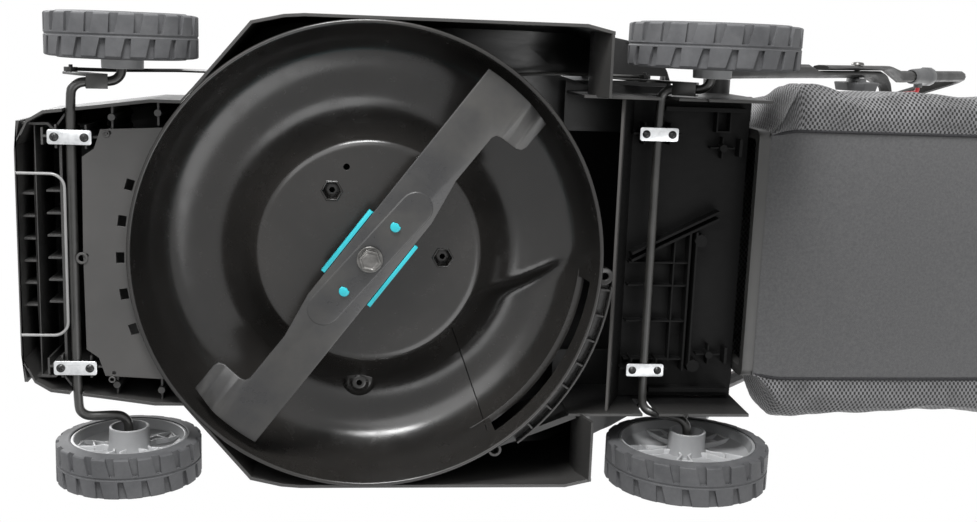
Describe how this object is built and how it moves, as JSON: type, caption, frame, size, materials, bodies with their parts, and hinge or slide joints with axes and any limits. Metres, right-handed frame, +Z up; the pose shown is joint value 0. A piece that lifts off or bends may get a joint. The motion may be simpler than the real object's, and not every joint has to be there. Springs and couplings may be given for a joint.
{
  "type": "rotary lawn mower",
  "caption": "Walk-behind rotary lawn mower: moulded deck with a volute bowl, pegged blade, treaded wheels on cranked axles, folding handle and grass bag.",
  "frame": {"origin": "on the ground under the middle of the mower's length and width", "axes": "+X towards the nose, +Y to the mower's left, +Z up"},
  "size_m": [1.3432, 0.4736, 1.0214],
  "materials": {
    "deck_plastic": "fine-grained black moulding",
    "cover_plastic": "satin dark grey",
    "accent_plastic": "satin teal",
    "wheel_plastic": "satin mid grey",
    "tyre_rubber": "matt dark grey, dusty on the blocks' edges",
    "axle_steel": "black-finished steel rod",
    "zinc_steel": "bright zinc",
    "blade_steel": "black-coated steel, bare on the cutting edge",
    "bolt_steel": "black-finished steel",
    "handle_paint": "black powder coat",
    "knob_plastic": "satin dark grey",
    "grip_foam": "soft black foam",
    "bail_paint": "red enamel",
    "bag_cloth": "black knitted mesh and dark grey cloth",
    "motor_steel": "plain steel can"
  },
  "bodies": {
    "deck": {"deck_body": "deck_plastic", "blade_housing": "deck_plastic", "front_baffle": "deck_plastic", "chute_floor": "deck_plastic", "motor_housing": "motor_steel", "motor_cover": "cover_plastic", "left_battery": "knob_plastic", "right_battery": "knob_plastic", "front_left_clamp": "zinc_steel", "front_right_clamp": "zinc_steel", "rear_left_clamp": "zinc_steel", "rear_right_clamp": "zinc_steel", "left_pivot_bolt": "bolt_steel", "right_pivot_bolt": "bolt_steel", "flap_pin": "bolt_steel"},
    "cutter": {"motor_shaft": "bolt_steel", "blade": "blade_steel", "blade_adaptor": "accent_plastic", "blade_bolt": "bolt_steel"},
    "front_axle_unit": {"front_axle": "axle_steel", "front_link_bracket": "wheel_plastic"},
    "rear_axle_unit": {"rear_axle": "axle_steel", "rear_link_bracket": "wheel_plastic", "lever_knob": "knob_plastic"},
    "link": {"link_rod": "axle_steel"},
    "front_left_wheel_unit": {"front_left_tyre": "tyre_rubber", "front_left_wheel": "wheel_plastic", "front_left_cap": "knob_plastic"},
    "front_right_wheel_unit": {"front_right_tyre": "tyre_rubber", "front_right_wheel": "wheel_plastic", "front_right_cap": "knob_plastic"},
    "rear_left_wheel_unit": {"rear_left_tyre": "tyre_rubber", "rear_left_wheel": "wheel_plastic", "rear_left_cap": "knob_plastic"},
    "rear_right_wheel_unit": {"rear_right_tyre": "tyre_rubber", "rear_right_wheel": "wheel_plastic", "rear_right_cap": "knob_plastic"},
    "lower_handle_unit": {"lower_handle": "handle_paint", "left_joint_bolt": "bolt_steel", "right_joint_bolt": "bolt_steel"},
    "upper_handle_unit": {"upper_handle": "handle_paint", "grip_sleeve": "grip_foam", "left_collar": "knob_plastic", "right_collar": "knob_plastic"},
    "bail": {"bail_lever": "bail_paint"},
    "left_pivot_knob_unit": {"left_pivot_knob": "knob_plastic"},
    "right_pivot_knob_unit": {"right_pivot_knob": "knob_plastic"},
    "left_joint_knob_unit": {"left_joint_knob": "knob_plastic"},
    "right_joint_knob_unit": {"right_joint_knob": "knob_plastic"},
    "battery_lid_unit": {"battery_lid": "cover_plastic"},
    "rear_flap_unit": {"rear_flap": "deck_plastic"},
    "bag": {"bag_frame": "deck_plastic", "bag_fabric": "bag_cloth", "bag_top": "deck_plastic", "bag_handle": "knob_plastic"}
  },
  "joints": [
    {"name": "blade_spin", "type": "hinge", "parent": "deck", "child": "cutter", "pos_m": [0.34458, 0, 0.0537], "axis": [0, 0, 1], "continuous": true},
    {"name": "height_adjust", "type": "hinge", "parent": "deck", "child": "rear_axle_unit", "pos_m": [0.05358, 0, 0.113], "axis": [0, 1, 0], "range_deg": [-25, 28]},
    {"name": "front_axle_swing", "type": "hinge", "parent": "deck", "child": "front_axle_unit", "pos_m": [0.62208, 0, 0.056], "axis": [0, 1, 0], "range_deg": [-26, 29]},
    {"name": "link_swing", "type": "hinge", "parent": "front_axle_unit", "child": "link", "pos_m": [0.63008, 0.1706, 0.097], "axis": [0, 1, 0], "range_deg": [-29, 26]},
    {"name": "front_left_wheel_spin", "type": "hinge", "parent": "front_axle_unit", "child": "front_left_wheel_unit", "pos_m": [0.57658, 0.204, 0.069], "axis": [0, 1, 0], "continuous": true},
    {"name": "front_right_wheel_spin", "type": "hinge", "parent": "front_axle_unit", "child": "front_right_wheel_unit", "pos_m": [0.57658, -0.204, 0.069], "axis": [0, 1, 0], "continuous": true},
    {"name": "rear_left_wheel_spin", "type": "hinge", "parent": "rear_axle_unit", "child": "rear_left_wheel_unit", "pos_m": [0.00958, 0.214, 0.0845], "axis": [0, 1, 0], "continuous": true},
    {"name": "rear_right_wheel_spin", "type": "hinge", "parent": "rear_axle_unit", "child": "rear_right_wheel_unit", "pos_m": [0.00958, -0.214, 0.0845], "axis": [0, 1, 0], "continuous": true},
    {"name": "lower_handle_fold", "type": "hinge", "parent": "deck", "child": "lower_handle_unit", "pos_m": [-0.03742, 0, 0.225], "axis": [0, 1, 0], "range_deg": [0, 107]},
    {"name": "upper_handle_fold", "type": "hinge", "parent": "lower_handle_unit", "child": "upper_handle_unit", "pos_m": [-0.32621, 0, 0.5272], "axis": [0, -1, 0], "range_deg": [-120, 0]},
    {"name": "left_pivot_knob_turn", "type": "hinge", "parent": "deck", "child": "left_pivot_knob_unit", "pos_m": [-0.03742, 0.205, 0.225], "axis": [0, 1, 0], "continuous": true},
    {"name": "right_pivot_knob_turn", "type": "hinge", "parent": "deck", "child": "right_pivot_knob_unit", "pos_m": [-0.03742, -0.205, 0.225], "axis": [0, 1, 0], "continuous": true},
    {"name": "left_joint_knob_turn", "type": "hinge", "parent": "lower_handle_unit", "child": "left_joint_knob_unit", "pos_m": [-0.32621, 0.17, 0.5272], "axis": [0, 1, 0], "continuous": true},
    {"name": "right_joint_knob_turn", "type": "hinge", "parent": "lower_handle_unit", "child": "right_joint_knob_unit", "pos_m": [-0.32621, -0.17, 0.5272], "axis": [0, 1, 0], "continuous": true},
    {"name": "bail_squeeze", "type": "hinge", "parent": "upper_handle_unit", "child": "bail", "pos_m": [-0.50515, 0, 0.71445], "axis": [0, -1, 0], "range_deg": [0, 47], "stiffness_Nm_per_rad": 0.6, "springref_deg": -28.65},
    {"name": "battery_lid_hinge", "type": "hinge", "parent": "deck", "child": "battery_lid_unit", "pos_m": [0.44458, 0, 0.2566], "axis": [0, 1, 0], "range_deg": [0, 80]},
    {"name": "rear_flap_hinge", "type": "hinge", "parent": "deck", "child": "rear_flap_unit", "pos_m": [-0.05742, 0, 0.309], "axis": [0, 1, 0], "range_deg": [0, 95]},
    {"name": "bag_slide", "type": "slide", "parent": "deck", "child": "bag", "axis": [-1, 0, 0], "range_m": [0, 0.25]}
  ],
  "couplings": [
    {"joint": "front_axle_swing", "follows": "height_adjust", "ratio": 1},
    {"joint": "link_swing", "follows": "height_adjust", "ratio": -1}
  ]
}
